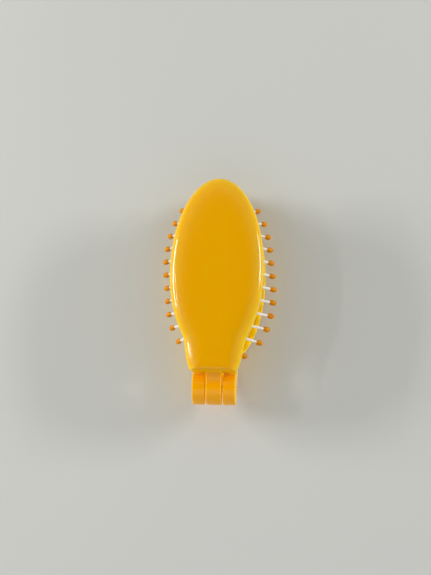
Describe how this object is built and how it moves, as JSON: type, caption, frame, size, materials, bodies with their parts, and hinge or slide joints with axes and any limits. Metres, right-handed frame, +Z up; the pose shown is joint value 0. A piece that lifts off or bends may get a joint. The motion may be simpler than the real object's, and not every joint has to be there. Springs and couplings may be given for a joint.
{
  "type": "folding pocket brush",
  "caption": "Folding pocket brush: a cushioned pin brush half and a mirror half, both oval shells, closed on one barrel hinge at the neck.",
  "frame": {"origin": "middle of the closed brush's footprint, on the flat back of the mirror half", "axes": "+Y to the rounded tip, away from the hinge; +Z up from the mirror half to the brush half; +X to the right when the tip points away"},
  "size_m": [0.051, 0.0988, 0.0285],
  "materials": {
    "yellow_gloss_plastic": "moulded glossy amber-yellow plastic",
    "yellow_satin_plastic": "the same yellow plastic, satin",
    "cushion_rubber": "soft cream rubber with a fine matt skin",
    "pin_nylon": "smooth off-white nylon, with amber bulbs at the tips",
    "mirror_glass": "silvered glass",
    "foam_tape": "closed-cell foam tape, sticky on both faces",
    "hinge_steel": "drawn steel wire"
  },
  "bodies": {
    "mirror_half": {"mirror_back_shell": "yellow_gloss_plastic", "mirror_tape_ring": "foam_tape", "mirror_plate": "mirror_glass", "mirror_bezel": "yellow_satin_plastic", "hinge_pin": "hinge_steel"},
    "brush_half": {"brush_back_shell": "yellow_gloss_plastic", "cushion_retainer_ring": "yellow_satin_plastic", "pin_cushion": "cushion_rubber", "pin_row_01": "pin_nylon", "pin_row_02": "pin_nylon", "pin_row_03": "pin_nylon", "pin_row_04": "pin_nylon", "pin_row_05": "pin_nylon", "pin_row_06": "pin_nylon", "pin_row_07": "pin_nylon", "pin_row_08": "pin_nylon", "pin_row_09": "pin_nylon", "pin_row_10": "pin_nylon", "pin_row_11": "pin_nylon", "pin_row_12": "pin_nylon", "pin_row_13": "pin_nylon"}
  },
  "joints": [
    {"name": "fold", "type": "hinge", "parent": "mirror_half", "child": "brush_half", "pos_m": [0, -0.04215, 0.01425], "axis": [1, 0, 0], "range_deg": [0, 180]}
  ]
}
